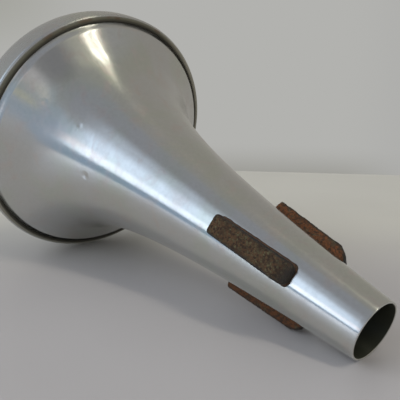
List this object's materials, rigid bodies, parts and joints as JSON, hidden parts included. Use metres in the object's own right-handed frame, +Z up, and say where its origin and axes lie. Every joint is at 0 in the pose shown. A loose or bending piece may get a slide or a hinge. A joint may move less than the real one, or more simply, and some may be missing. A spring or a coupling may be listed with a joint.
{
  "type": "straight mute",
  "caption": "Spun aluminium straight mute for a trombone: bell-shaped shell closed by a domed end cap, with cork strips round its open neck.",
  "frame": {"origin": "centre of the mute's footprint, on the table that it lies on", "axes": "+X level along the mute towards its open mouth, +Z up; the mute's own axis rises 16.9 degrees towards -X, because it lies on its mouth and on the edge of its end cap"},
  "size_m": [0.2478, 0.1446, 0.1414],
  "materials": {
    "body_aluminium": "spun and polished, dulled by handling",
    "cap_aluminium": "spun and polished, dulled by handling",
    "cork": "pressed cork granulate, darkened by use"
  },
  "bodies": {
    "root": {"body_shell": "body_aluminium", "end_cap": "cap_aluminium", "cork_strip_front": "cork", "cork_strip_back": "cork", "cork_strip_lower": "cork"}
  },
  "joints": []
}
